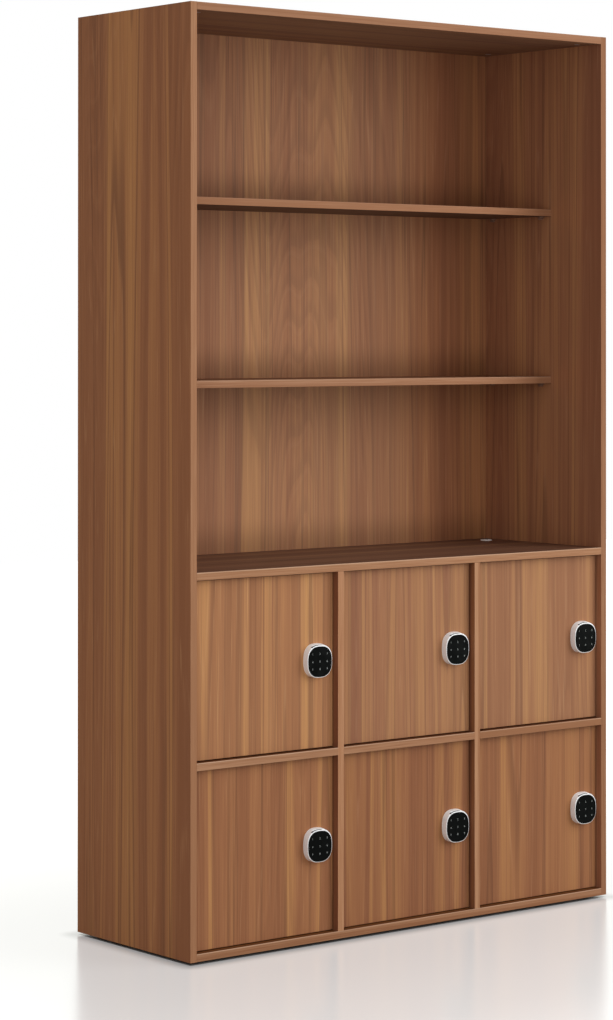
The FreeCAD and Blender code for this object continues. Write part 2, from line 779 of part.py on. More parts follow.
save("side_panel_left", [sidePanel(-1)])
save("side_panel_right", [sidePanel(1)])
save("bottom_panel", [cutAll(crossBoard(0), glides)])
save("fixed_shelf", [fixedShelf()])
save("top_panel", [crossBoard(row_count)])
save("back_panel", [backPanel()])
for level, name in zip(open_levels, row_names):
    save("open_shelf_" + name, [openShelf(level)])
for bay, name in enumerate(column_names):
    save("locker_shelf_" + name, [lockerShelf(bay)])
for x, name in zip(divider_centres, [column_names[0], column_names[-1]]):
    save("divider_" + name, [divider(x)])
save("shelf_pins", shelf_pins)
save("dowels", all_dowels)
save("cam_drums", [camDrum(*place) for place in cam_places])
save("cam_bolts", cam_bolts)
save("glides", glides)
save("cable_grommet", [grommetSleeve()])
save("grommet_cap", [grommetCap()])
save("hinge_pins", hinge_pins)
save("hinge_arms", hinge_arms)
save("hinge_plates", hinge_plates)
save("strike_plates", strike_plates)
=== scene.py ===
import math

import bpy
import numpy as np
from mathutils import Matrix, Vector


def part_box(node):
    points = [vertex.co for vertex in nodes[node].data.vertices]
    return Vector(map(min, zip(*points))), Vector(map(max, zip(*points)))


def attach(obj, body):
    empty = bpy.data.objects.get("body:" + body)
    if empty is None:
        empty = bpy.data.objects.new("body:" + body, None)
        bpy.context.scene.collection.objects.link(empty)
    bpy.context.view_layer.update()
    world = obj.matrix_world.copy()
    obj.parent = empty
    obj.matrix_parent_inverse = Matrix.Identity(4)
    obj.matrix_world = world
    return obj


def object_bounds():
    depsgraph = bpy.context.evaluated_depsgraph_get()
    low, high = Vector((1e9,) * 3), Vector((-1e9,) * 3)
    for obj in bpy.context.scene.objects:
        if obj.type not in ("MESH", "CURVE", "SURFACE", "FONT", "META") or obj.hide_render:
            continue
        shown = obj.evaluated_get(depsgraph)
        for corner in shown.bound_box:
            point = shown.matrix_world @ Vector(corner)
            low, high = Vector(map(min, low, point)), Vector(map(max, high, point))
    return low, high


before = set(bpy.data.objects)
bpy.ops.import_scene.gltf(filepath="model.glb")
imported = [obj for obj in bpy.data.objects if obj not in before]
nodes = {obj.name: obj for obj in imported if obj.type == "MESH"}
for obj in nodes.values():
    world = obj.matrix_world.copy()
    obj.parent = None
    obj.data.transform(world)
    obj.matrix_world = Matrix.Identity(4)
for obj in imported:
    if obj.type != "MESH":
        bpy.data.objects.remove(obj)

cadBounds = [[float(value) for value in corner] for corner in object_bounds()]
scene = bpy.context.scene
rows = ["lower", "upper"]
columns = ["left", "centre", "right"]
lockers = [row + "_" + column for row in rows for column in columns]
print("frame loaded:", len(nodes), "nodes")


# Camera, in the place and with the shift of the photograph's own perspective

camera = {
    "place": (-4.2183, -5.1271, 1.3087),
    "pitch": 90.243,
    "roll": -0.010,
    "yaw": -38.826,
    "focalPixels": 2943.4,
    "centrePixels": (318.74, 321.70),
    "imagePixels": (613, 1020),
    "sensor": 36.0,
    "clipEnd": 60.0,
}


def makeCamera(look):
    width, height = look["imagePixels"]
    centreX, centreY = look["centrePixels"]
    data = bpy.data.cameras.new("photo_camera")
    data.sensor_width = look["sensor"]
    data.lens = look["focalPixels"] * look["sensor"] / height
    data.shift_x = -(centreX - width / 2) / height
    data.shift_y = (centreY - height / 2) / height
    data.clip_end = look["clipEnd"]
    holder = bpy.data.objects.new("photo_camera", data)
    holder.location = look["place"]
    holder.rotation_euler = [math.radians(look[turn]) for turn in ("pitch", "roll", "yaw")]
    scene.collection.objects.link(holder)
    scene.camera = holder


makeCamera(camera)
scene.view_settings.view_transform = "Standard"
print("camera set")


# Short words for building material nodes

white = (1.0, 1.0, 1.0, 1.0)
axisPicks = ((1, 0, 0), (0, 1, 0), (0, 0, 1))        # a dot product with one of these reads X, Y or Z


def colour(red, green, blue):
    # sRGB 0 to 255 into the linear values that sockets take
    shares = np.array([red, green, blue]) / 255
    linear = np.where(shares <= 0.04045, shares / 12.92, ((shares + 0.055) / 1.055) ** 2.4)
    return (*linear.tolist(), 1.0)


def startMaterial(name):
    material = bpy.data.materials.new(name)
    material.use_nodes = True
    return material, material.node_tree, material.node_tree.nodes["Principled BSDF"]


def put(tree, kind, **settings):
    node = tree.nodes.new(kind)
    for key, value in settings.items():
        setattr(node, key, value)
    return node


def feed(tree, socket, source):
    # a socket takes another node's output or a plain value
    if isinstance(source, bpy.types.NodeSocket):
        tree.links.new(source, socket)
    else:
        socket.default_value = source


def calc(tree, operation, *sources):
    node = put(tree, "ShaderNodeMath", operation=operation)
    for socket, source in zip(node.inputs, sources):
        feed(tree, socket, source)
    return node.outputs[0]


def dot(tree, vector, weights):
    node = put(tree, "ShaderNodeVectorMath", operation="DOT_PRODUCT")
    feed(tree, node.inputs[0], vector)
    feed(tree, node.inputs[1], weights)
    return node.outputs["Value"]


def combine(tree, x, y, z):
    node = put(tree, "ShaderNodeCombineXYZ")
    for socket, source in zip(node.inputs, (x, y, z)):
        feed(tree, socket, source)
    return node.outputs[0]


def noise(tree, vector, scale=1.0, detail=2.0, roughness=0.5):
    node = put(tree, "ShaderNodeTexNoise")
    feed(tree, node.inputs["Vector"], vector)
    feed(tree, node.inputs["Scale"], scale)
    feed(tree, node.inputs["Detail"], detail)
    feed(tree, node.inputs["Roughness"], roughness)
    return node.outputs[0]


def spread(tree, value, low, high, newLow=0.0, newHigh=1.0, kind="SMOOTHSTEP"):
    # newLow up to low, newHigh from high on, and a soft step between them. Low may be the larger
    node = put(tree, "ShaderNodeMapRange", interpolation_type=kind)
    for socket, source in zip(node.inputs, (value, low, high, newLow, newHigh)):
        feed(tree, socket, source)
    return node.outputs[0]


def ramp(tree, value, stops):
    node = put(tree, "ShaderNodeValToRGB")
    band = node.color_ramp.elements
    while len(band) < len(stops):
        band.new(0.5)
    for element, (place, tint) in zip(band, stops):
        element.position = place
        element.color = colour(*tint)
    feed(tree, node.inputs[0], value)
    return node.outputs[0]


def blendColours(tree, share, first, second, mode="MIX"):
    node = put(tree, "ShaderNodeMix", data_type="RGBA", blend_type=mode)
    feed(tree, node.inputs[0], share)
    feed(tree, node.inputs[6], first)
    feed(tree, node.inputs[7], second)
    return node.outputs[2]


def multiplied(tree, first, second):
    return blendColours(tree, 1.0, first, second, "MULTIPLY")


def objectPlace(tree):
    return put(tree, "ShaderNodeTexCoord").outputs["Object"]


def objectNormal(tree):
    return put(tree, "ShaderNodeTexCoord").outputs["Normal"]


def bump(tree, shader, height, strength, distance):
    node = put(tree, "ShaderNodeBump")
    feed(tree, node.inputs["Strength"], strength)
    feed(tree, node.inputs["Distance"], distance)
    feed(tree, node.inputs["Height"], height)
    tree.links.new(node.outputs[0], shader.inputs["Normal"])


def dress(name, material):
    for holder in nodes[name].material_slots:
        holder.material = material


# Walnut laminate

walnut = {
    "tones": [(0.10, (144, 97, 70)), (0.35, (155, 106, 76)), (0.55, (167, 117, 82)), (0.75, (177, 127, 86)),
              (0.95, (188, 138, 92))],
    "darkLine": (105, 70, 54),
    "darkShare": 0.55,
    "paleLine": (200, 154, 116),
    "paleShare": 0.28,
    "bandTones": [(0.30, (162, 116, 84)), (0.70, (190, 146, 113))],
    "bandToneShare": 0.6,
    "bandFibreShare": 0.4,
    # each layer of noise: waves per metre across the grain, along it, and detail
    "layers": {
        "drift": (2.0, 0.5, 1.0),
        "field": (8.0, 0.14, 1.0),
        "ruffle": (26.0, 0.9, 1.0),
        "wide": (20.0, 0.25, 1.0),
        "fine": (160.0, 0.8, 2.0),
        "fibre": (800.0, 10.0, 1.0),
        "fleck": (520.0, 7.0, 0.0),
        "streak": (210.0, 3.2, 1.0),
        "lines": (46.0, 0.25, 1.0),
        "arch": (6.0, 0.5, 0.5),
        "zone": (3.5, 0.6, 0.0),
    },
    "driftReach": 0.03,
    "ruffleShare": 0.022,
    "ringsPerField": 18.0,
    "ringTurn": 0.55,
    "darkRise": (0.62, 0.9),
    "darkFall": (1.0, 0.93),
    "darkRings": (0.35, 1.0),
    "hairsPerRing": 3.0,
    "hairRise": (0.7, 0.9),
    "hairFall": (1.0, 0.9),
    "fleckReach": (0.45, 0.7),
    "thinWidth": 0.03,
    "thinReach": (0.4, 0.6),
    "thinShare": 0.9,
    "zoneReach": (0.5, 0.6),
    "archLines": 34.0,
    "archRise": (0.45, 0.8),
    "archFall": (1.0, 0.9),
    "archDarkShare": 0.35,
    "archPalePlace": 0.12,
    "archPaleReach": (0.1, 0.02),
    "archPaleShare": 0.22,
    "toneShares": {"ring": 0.72, "wide": 0.78, "fine": 0.45, "streak": 0.34, "fibre": 0.32},
    "roughness": 0.5,
    "roughnessSwing": 0.05,
    "specular": 0.05,
    "seamTint": (74, 46, 36),
    "seamShare": 0.6,
    "seamInset": 0.0009,
    "seamWidth": 0.00018,
    "bandTurn": (0.75, 0.65),
    "relief": 0.25,
    "reliefDepth": 0.0002,
    "seedStep": 1.7,
    "seedStart": 3.0,
    "seedShift": 0.37,
    "ringSeedShift": 7.3,
}

# the back panel's veneer is plainer, in wider and softer stripes
softWalnut = dict(walnut, ringsPerField=16.0, darkLine=(100, 73, 60), darkShare=0.5, paleShare=0.25,
                  toneShares={"ring": 0.42, "wide": 0.72, "fine": 0.5, "streak": 0.42, "fibre": 0.32},
                  layers=dict(walnut["layers"], ruffle=(26.0, 1.1, 1.0)))

# some doors have less contrast
calmWalnut = dict(walnut, darkShare=0.48,
                  toneShares={"ring": 0.52, "wide": 0.58, "fine": 0.42, "streak": 0.34, "fibre": 0.32})

upright = {"across": (1, 1, 0), "along": (0, 0, 1)}
level = {"across": (0, 1, 1), "along": (1, 0, 0)}


def ridge(tree, value, rise, fall, most=1.0):
    # 0 to the most while the value goes up the rise, and back to 0 up the fall
    return calc(tree, "MULTIPLY", spread(tree, value, *rise), spread(tree, value, *fall, 0.0, most))


def growthRings(tree, field, seed, look):
    # each ring has its own tone, drawn from its number, and ends in a dark edge
    phase = calc(tree, "MULTIPLY", field, look["ringsPerField"])
    within = calc(tree, "FRACT", phase)

    def drawn(shift):
        node = put(tree, "ShaderNodeTexWhiteNoise", noise_dimensions="1D")
        number = calc(tree, "ADD", calc(tree, "FLOOR", phase), seed * look["ringSeedShift"] + shift)
        feed(tree, node.inputs["W"], number)
        return node.outputs["Value"]

    # the tone of a ring turns into the tone of the next one over the ring's last part
    turn = spread(tree, within, look["ringTurn"], 1.0)
    tone = calc(tree, "ADD", calc(tree, "MULTIPLY", drawn(0.0), calc(tree, "SUBTRACT", 1.0, turn)),
                calc(tree, "MULTIPLY", drawn(1.0), turn))
    edge = ridge(tree, within, look["darkRise"], look["darkFall"])
    edge = calc(tree, "MULTIPLY", edge, spread(tree, drawn(11.0), *look["darkRings"], kind="LINEAR"))
    hair = calc(tree, "FRACT", calc(tree, "MULTIPLY", phase, look["hairsPerRing"]))
    return tone, edge, ridge(tree, hair, look["hairRise"], look["hairFall"])


def grainField(tree, across, along, seed, look):
    # growth rings as level bands of a long-drawn noise, under thin dark lines, faint nested arches and fibres
    def layer(name, source):
        perMetre, alongPerMetre, detail = look["layers"][name]
        shift = seed + list(look["layers"]).index(name)
        place = combine(tree, calc(tree, "MULTIPLY", source, perMetre), shift,
                        calc(tree, "MULTIPLY", along, alongPerMetre))
        return noise(tree, place, detail=detail)

    def swing(value):
        return calc(tree, "SUBTRACT", value, 0.5)

    bent = calc(tree, "MULTIPLY_ADD", swing(layer("drift", across)), look["driftReach"], across)
    wide = layer("wide", bent)
    fine = layer("fine", bent)
    fibre = layer("fibre", across)
    ruffle = swing(layer("ruffle", bent))
    field = calc(tree, "MULTIPLY_ADD", ruffle, look["ruffleShare"], layer("field", bent))
    ring, dark, pale = growthRings(tree, field, seed, look)

    tone = 0.5
    parts = {"ring": ring, "wide": wide, "fine": fine, "streak": layer("streak", across), "fibre": fibre}
    for name, value in parts.items():
        tone = calc(tree, "MULTIPLY_ADD", swing(value), look["toneShares"][name], tone)

    pale = calc(tree, "MULTIPLY", pale, spread(tree, layer("fleck", across), *look["fleckReach"]))
    thin = spread(tree, calc(tree, "ABSOLUTE", swing(layer("lines", bent))), look["thinWidth"], 0.0)
    thin = calc(tree, "MULTIPLY", thin, spread(tree, wide, *look["thinReach"], 0.0, look["thinShare"]))
    dark = calc(tree, "MAXIMUM", dark, thin)
    zone = spread(tree, layer("zone", across), *look["zoneReach"])
    arch = calc(tree, "FRACT", calc(tree, "MULTIPLY", layer("arch", bent), look["archLines"]))
    archDark = ridge(tree, arch, look["archRise"], look["archFall"], look["archDarkShare"])
    dark = calc(tree, "MAXIMUM", dark, calc(tree, "MULTIPLY", archDark, zone))
    offPale = calc(tree, "ABSOLUTE", calc(tree, "SUBTRACT", arch, look["archPalePlace"]))
    archPale = spread(tree, offPale, *look["archPaleReach"], 0.0, look["archPaleShare"])
    pale = calc(tree, "MAXIMUM", pale, calc(tree, "MULTIPLY", archPale, zone))
    return tone, dark, pale, fibre, fine


def offMiddle(tree, place, axis, low, high):
    # how far a place lies from the middle between low and high along one axis
    return calc(tree, "ABSOLUTE", calc(tree, "SUBTRACT", dot(tree, place, axisPicks[axis]), (low + high) / 2))


def edgeDistance(tree, place, corners, axes):
    # the least distance in the plane of the panel from the outer edges of its box
    nearest = None
    for axis in axes:
        low, high = corners[0][axis], corners[1][axis]
        gap = calc(tree, "SUBTRACT", (high - low) / 2, offMiddle(tree, place, axis, low, high))
        nearest = gap if nearest is None else calc(tree, "MINIMUM", nearest, gap)
    return nearest


def tintOf(tints, name):
    return (*tints.get(name, tints["other"]), 1.0)


def backShade(tree, place, normal, top, look):
    # painted light and shade on the back panel: a tint over its height, a painted shadow at its right, and
    # painted shade just above each shelf
    height = dot(tree, place, axisPicks[2])
    share = spread(tree, height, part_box("fixed_shelf")[1].z, top, kind="LINEAR")
    fall = blendColours(tree, share, look["low"], look["high"])
    toRight = spread(tree, dot(tree, place, axisPicks[0]), look["rightStart"], look["rightFull"])
    fall = multiplied(tree, fall, blendColours(tree, toRight, white, look["right"]))
    clear = 1.0
    for shelf in ("fixed_shelf", "open_shelf_lower", "open_shelf_upper"):
        above = calc(tree, "SUBTRACT", height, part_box(shelf)[1].z)
        below = calc(tree, "LESS_THAN", above, -look["shelfEdge"])
        rise = calc(tree, "MAXIMUM", spread(tree, above, 0.0, look["reach"]), below)
        clear = calc(tree, "MINIMUM", clear, rise)
    facingFront = spread(tree, dot(tree, normal, (0, -1, 0)), *look["frontTurn"])
    dim = calc(tree, "MULTIPLY", calc(tree, "SUBTRACT", 1.0, clear), facingFront)
    return multiplied(tree, fall, blendColours(tree, dim, white, look["dim"]))


def levelShade(tree, place, normal, corners, name):
    # painted shade on a level board's upper and lower face and on the ledge before a door, and a painted
    # highlight on its front rim
    rising = dot(tree, normal, axisPicks[2])
    depth = dot(tree, place, axisPicks[1])
    height = dot(tree, place, axisPicks[2])
    upper = tintOf(topShadeTints, name)
    # a painted shadow of the door on the ledge before it
    if name in ledgeShadow["boards"]:
        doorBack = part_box("door_" + lockers[0])[1].y
        before = spread(tree, depth, doorBack + ledgeShadow["blur"], doorBack)
        upper = blendColours(tree, before, upper, ledgeShadow["tint"])
    turnStart, turnEnd = levelTurn
    shade = blendColours(tree, spread(tree, rising, turnStart, turnEnd), white, upper)
    shade = blendColours(tree, spread(tree, rising, -turnStart, -turnEnd), shade, tintOf(underShadeTints, name))
    # a painted highlight along the front's upper rim
    front = spread(tree, depth, corners[0].y + rimHighlight["depth"], corners[0].y)
    high = spread(tree, height, corners[1].z - rimHighlight["height"], corners[1].z - rimHighlight["crest"])
    return blendColours(tree, calc(tree, "MULTIPLY", front, high), shade, tintOf(rimHighlight["tints"], name))


def walnutBoard(name, run, faceAxis, seed, look):
    # veneer on the two faces across faceAxis, a plainer band round the edges, and a hairline seam between
    material, tree, shader = startMaterial("walnut_" + name)
    place = objectPlace(tree)
    normal = objectNormal(tree)
    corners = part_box(name)
    across = calc(tree, "ADD", dot(tree, place, run["across"]), seed * look["seedShift"])
    along = dot(tree, place, run["along"])
    tone, dark, pale, fibre, fine = grainField(tree, across, along, seed, look)
    veneer = ramp(tree, tone, look["tones"])
    dark = calc(tree, "MULTIPLY", dark, look["darkShare"])
    pale = calc(tree, "MULTIPLY", pale, look["paleShare"])
    veneer = blendColours(tree, dark, veneer, colour(*look["darkLine"]))
    veneer = blendColours(tree, pale, veneer, colour(*look["paleLine"]))
    # each board's tint, in places painted light and shade
    veneer = multiplied(tree, veneer, tintOf(boardTintsAndShade, name))
    # painted light and shade on the back panel
    if name == "back_panel":
        veneer = multiplied(tree, veneer, backShade(tree, place, normal, corners[1].z, backLightAndShade))

    bandTone = calc(tree, "ADD", calc(tree, "MULTIPLY", tone, look["bandToneShare"]),
                    calc(tree, "MULTIPLY", fibre, look["bandFibreShare"]))
    band = multiplied(tree, ramp(tree, bandTone, look["bandTones"]), tintOf(bandTints, name))
    facing = calc(tree, "ABSOLUTE", dot(tree, normal, axisPicks[faceAxis]))
    tint = blendColours(tree, spread(tree, facing, *look["bandTurn"]), veneer, band)

    distance = edgeDistance(tree, place, corners, [axis for axis in range(3) if axis != faceAxis])
    offSeam = calc(tree, "ABSOLUTE", calc(tree, "SUBTRACT", distance, look["seamInset"]))
    seam = spread(tree, offSeam, look["seamWidth"], 0.0, 0.0, look["seamShare"])
    tint = blendColours(tree, seam, tint, colour(*look["seamTint"]))
    if run is level:
        # painted shade on the upper and lower faces, and a painted highlight on the front rim
        tint = multiplied(tree, tint, levelShade(tree, place, normal, corners, name))
    feed(tree, shader.inputs["Base Color"], tint)

    rougher = look["roughness"] + look["roughnessSwing"]
    smoother = look["roughness"] - look["roughnessSwing"]
    feed(tree, shader.inputs["Roughness"], spread(tree, fine, 0.3, 0.7, rougher, smoother, "LINEAR"))
    feed(tree, shader.inputs["Specular IOR Level"], look["specular"])
    bump(tree, shader, calc(tree, "SUBTRACT", fibre, seam), look["relief"], look["reliefDepth"])
    return material


# boards differ in colour, as sheets of veneer do; some tints are painted light and shade: the dividers' walls
# darkened as in shade, the lower doors darker than the upper ones, the left side warmer as in warm light
boardTintsAndShade = {
    "other": (1.0, 1.0, 1.0),
    "side_panel_left": (1.08, 0.98, 0.84),
    "side_panel_right": (1.01, 0.97, 1.0),
    "divider_left": (0.72, 0.62, 0.60),
    "divider_right": (0.68, 0.59, 0.57),
    "door_upper_left": (1.33, 1.38, 1.28),
    "door_upper_centre": (1.02, 1.03, 1.10),
    "door_upper_right": (1.12, 1.18, 1.20),
    "door_lower_left": (1.09, 1.05, 0.98),
    "door_lower_centre": (0.92, 0.86, 0.83),
    "door_lower_right": (1.01, 0.97, 0.91),
}
# their edge bands differ too
bandTints = {
    "other": (1.0, 1.0, 1.0),
    "top_panel": (0.76, 0.67, 0.63),
    "side_panel_left": (1.07, 1.05, 1.04),
    "side_panel_right": (0.84, 0.78, 0.75),
    "open_shelf_lower": (1.0, 0.97, 0.98),
    "open_shelf_upper": (1.0, 0.96, 0.96),
    "fixed_shelf": (1.08, 1.07, 1.05),
    "divider_left": (1.18, 1.13, 1.08),
    "divider_right": (1.07, 1.03, 0.99),
    "locker_shelf_left": (0.94, 0.89, 0.86),
    "locker_shelf_centre": (0.94, 0.89, 0.86),
    "locker_shelf_right": (0.94, 0.89, 0.86),
    "bottom_panel": (0.86, 0.79, 0.75),
}
# painted shade on the upper faces of the level boards, where little light falls
topShadeTints = {
    "other": (0.58, 0.54, 0.53),
    "top_panel": (1.0, 1.0, 1.0),
    "fixed_shelf": (0.54, 0.57, 0.67),
}
# painted shade on the lower faces of the level boards
underShadeTints = {
    "other": (0.60, 0.60, 0.64),
    "top_panel": (0.58, 0.60, 0.72),
    "open_shelf_lower": (0.29, 0.30, 0.38),
    "open_shelf_upper": (0.29, 0.30, 0.38),
}
levelTurn = (0.65, 0.75)        # how far a normal has to rise or fall to belong to an upper or lower face

# a painted highlight on the rounded upper rim of each level board's front, where it catches the light
rimHighlight = {
    "height": 0.0024,
    "crest": 0.0016,
    "depth": 0.0012,
    "tints": {
        "other": (1.32, 1.66, 2.05),
        "top_panel": (1.1, 1.15, 1.2),
        "open_shelf_lower": (1.10, 1.26, 1.45),
        "open_shelf_upper": (1.08, 1.15, 1.25),
    },
}
# a painted shadow of the doors on the ledges before them
ledgeShadow = {
    "boards": ("bottom_panel", "locker_shelf_left", "locker_shelf_centre", "locker_shelf_right"),
    "tint": (0.34, 0.24, 0.17, 1.0),
    "blur": 0.002,
}
# painted light and shade on the back panel's veneer: paler toward the lockers, darker just above each shelf,
# and a painted shadow at the right
backLightAndShade = {
    "low": (1.24, 1.31, 1.40, 1.0),
    "high": (0.98, 1.00, 1.06, 1.0),
    "dim": (0.70, 0.68, 0.66, 1.0),
    "right": (0.94, 0.83, 0.76, 1.0),
    "rightStart": 0.26,
    "rightFull": 0.44,
    "reach": 0.085,
    "shelfEdge": 0.001,
    "frontTurn": (0.4, 0.6),
}

# each board's run of the grain, and the axis across its faces
boards = {
    "side_panel_left": (upright, 0),
    "side_panel_right": (upright, 0),
    "back_panel": (upright, 1),
    "divider_left": (upright, 0),
    "divider_right": (upright, 0),
    "bottom_panel": (level, 2),
    "fixed_shelf": (level, 2),
    "top_panel": (level, 2),
    "open_shelf_lower": (level, 2),
    "open_shelf_upper": (level, 2),
    "locker_shelf_left": (level, 2),
    "locker_shelf_centre": (level, 2),
    "locker_shelf_right": (level, 2),
}
for locker in lockers:
    boards["door_" + locker] = (upright, 1)

looks = {
    "back_panel": softWalnut,
    "door_upper_centre": calmWalnut,
    "door_upper_right": calmWalnut,
    "door_lower_right": calmWalnut,
}
for number, (name, (run, faceAxis)) in enumerate(boards.items()):
    seed = walnut["seedStep"] * number + walnut["seedStart"]
    dress(name, walnutBoard(name, run, faceAxis, seed, looks.get(name, walnut)))
print("walnut on", len(boards), "boards")


# Plated and cast metals

metals = {
    "nickel": {"tint": (216, 214, 210), "shade": (204, 202, 198), "roughness": 0.36, "brush": 900.0},
    "zinc": {"tint": (196, 198, 202), "shade": (164, 166, 170), "roughness": 0.4, "brush": 500.0},
    "steel": {"tint": (198, 200, 204), "shade": (182, 184, 188), "roughness": 0.34, "brush": 1400.0},
}
metalSurface = {"clouds": 60.0, "smoother": 0.06, "rougher": 0.08, "metallic": 0.82, "relief": 0.12,
                "reliefDepth": 0.00005}


def clouded(tree, value, look):
    # the shade and the tint of a finish, in soft clouds
    return ramp(tree, value, [(0.35, look["shade"]), (0.65, look["tint"])])


def roughened(tree, value, look, surface):
    # the roughness of a finish, a little lower and higher where a fine noise falls and rises
    low = look["roughness"] - surface["smoother"]
    high = look["roughness"] + surface["rougher"]
    return spread(tree, value, 0.3, 0.7, low, high, "LINEAR")


def metalFinish(name, look, surface):
    # metal with a faint cloud in its colour and fine scratches in its roughness
    material, tree, shader = startMaterial(name)
    place = objectPlace(tree)
    cloud = noise(tree, place, surface["clouds"], detail=3.0, roughness=0.6)
    scratch = noise(tree, place, look["brush"], roughness=0.6)
    feed(tree, shader.inputs["Base Color"], clouded(tree, cloud, look))
    feed(tree, shader.inputs["Roughness"], roughened(tree, scratch, look, surface))
    feed(tree, shader.inputs["Metallic"], surface["metallic"])
    bump(tree, shader, scratch, surface["relief"], surface["reliefDepth"])
    return material


finishes = {name: metalFinish(name, look, metalSurface) for name, look in metals.items()}


# Plastics, glass and beech

lockWhite = {"tint": (253, 254, 255), "shade": (249, 250, 252), "roughness": 0.3, "gloss": 1.0,
             "grain": 2400.0}
plastics = {
    "capWhite": {"tint": (250, 250, 249), "shade": (240, 240, 239), "roughness": 0.25, "gloss": 0.8,
                 "grain": 2400.0},
    "caseGrey": {"tint": (58, 59, 61), "shade": (46, 47, 49), "roughness": 0.55, "gloss": 0.5,
                 "grain": 3200.0},
    "glideBlack": {"tint": (40, 38, 37), "shade": (28, 27, 26), "roughness": 0.6, "gloss": 0.5,
                   "grain": 2000.0},
    "pinTan": {"tint": (138, 104, 84), "shade": (124, 90, 72), "roughness": 0.5, "gloss": 0.4,
               "grain": 3200.0},
}
plasticSurface = {"clouds": 40.0, "smoother": 0.04, "rougher": 0.06, "relief": 0.1, "reliefDepth": 0.00004}

# painted shade on the bottom of the finger grip in the top of each lock housing, from the middle of its
# keypad
gripShade = {
    "tint": (52, 52, 54),
    "left": 0.0219,
    "right": 0.0060,
    "front": 0.0001,
    "back": 0.0041,
    "above": 0.030,
    "reach": 0.012,
}


def plasticFinish(name, look, surface, slot=None):
    # moulded plastic with a fine spark texture. A slot is a box painted dark as shade: its lowest and highest
    # corners
    material, tree, shader = startMaterial(name)
    place = objectPlace(tree)
    grain = noise(tree, place, look["grain"], roughness=0.6)
    tint = clouded(tree, noise(tree, place, surface["clouds"]), look)
    if slot:
        inside = 1.0
        for axis, (low, high) in enumerate(zip(*slot)):
            offset = offMiddle(tree, place, axis, low, high)
            inside = calc(tree, "MULTIPLY", inside, calc(tree, "LESS_THAN", offset, (high - low) / 2))
        # the box is painted dark as shade
        tint = blendColours(tree, inside, tint, colour(*gripShade["tint"]))
    feed(tree, shader.inputs["Base Color"], tint)
    feed(tree, shader.inputs["Roughness"], roughened(tree, grain, look, surface))
    feed(tree, shader.inputs["Specular IOR Level"], look["gloss"])
    bump(tree, shader, grain, surface["relief"], surface["reliefDepth"])
    return material


for name, look in plastics.items():
    finishes[name] = plasticFinish(name, look, plasticSurface)

for locker in lockers:
    low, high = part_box("keypad_face_" + locker)
    middle = (low + high) / 2
    bottom = middle.z + gripShade["above"]
    slotLow = (middle.x - gripShade["left"], low.y + gripShade["front"], bottom)
    slotHigh = (middle.x + gripShade["right"], low.y + gripShade["back"], bottom + gripShade["reach"])
    name = "lockWhite_" + locker
    finishes[name] = plasticFinish(name, lockWhite, plasticSurface, (slotLow, slotHigh))

keypadGlass = {"tint": (5, 7, 6), "smear": (10, 12, 11), "smears": 55.0, "roughness": 0.12, "rougher": 0.12,
               "specular": 0.03}


def glassFace(look):
    # black glass, a little lighter where faint smears lie
    material, tree, shader = startMaterial("keypadBlack")
    smear = noise(tree, objectPlace(tree), look["smears"], detail=3.0, roughness=0.6)
    tint = ramp(tree, smear, [(0.4, look["tint"]), (0.75, look["smear"])])
    rough = spread(tree, smear, 0.35, 0.7, look["roughness"], look["roughness"] + look["rougher"])
    feed(tree, shader.inputs["Base Color"], tint)
    feed(tree, shader.inputs["Roughness"], rough)
    feed(tree, shader.inputs["Specular IOR Level"], look["specular"])
    return material


finishes["keypadBlack"] = glassFace(keypadGlass)

beechLook = {"tint": (206, 168, 124), "shade": (178, 138, 96), "flecks": 420.0, "roughness": 0.7,
             "relief": 0.2, "reliefDepth": 0.0001}


def beechFinish(look):
    # pale wood with small dark flecks
    material, tree, shader = startMaterial("beech")
    fleck = noise(tree, objectPlace(tree), look["flecks"], detail=3.0, roughness=0.6)
    tint = ramp(tree, fleck, [(0.35, look["shade"]), (0.6, look["tint"])])
    feed(tree, shader.inputs["Base Color"], tint)
    feed(tree, shader.inputs["Roughness"], look["roughness"])
    bump(tree, shader, fleck, look["relief"], look["reliefDepth"])
    return material


finishes["beech"] = beechFinish(beechLook)

nodeFinishes = {
    "dowels": "beech",
    "cam_drums": "zinc",
    "cam_bolts": "steel",
    "shelf_pins": "pinTan",
    "glides": "glideBlack",
    "cable_grommet": "capWhite",
    "grommet_cap": "capWhite",
    "hinge_pins": "steel",
    "hinge_arms": "nickel",
    "hinge_plates": "nickel",
    "strike_plates": "nickel",
}
for locker in lockers:
    nodeFinishes["hinge_cups_" + locker] = "nickel"
    nodeFinishes["lock_housing_" + locker] = "lockWhite_" + locker
    nodeFinishes["keypad_face_" + locker] = "keypadBlack"
    nodeFinishes["lock_case_" + locker] = "caseGrey"
    nodeFinishes["lock_bolt_" + locker] = "steel"
for name, finish in nodeFinishes.items():
    dress(name, finishes[finish])
print("finishes on", len(nodeFinishes), "small nodes")


# Printed digits on each keypad

digits = {
    "columnPlaces": (-0.0200, 0.0, 0.0198),
    "rowPlaces": (0.0170, 0.0002, -0.0157),
    "height": 0.0041,
    "capShare": 0.7,
    "thickness": 0.00006,
    "curveSteps": 3,
    "tint": (172, 178, 175),
    "wornShare": 0.86,
    "flecks": 3000.0,
    "roughness": 0.5,
}


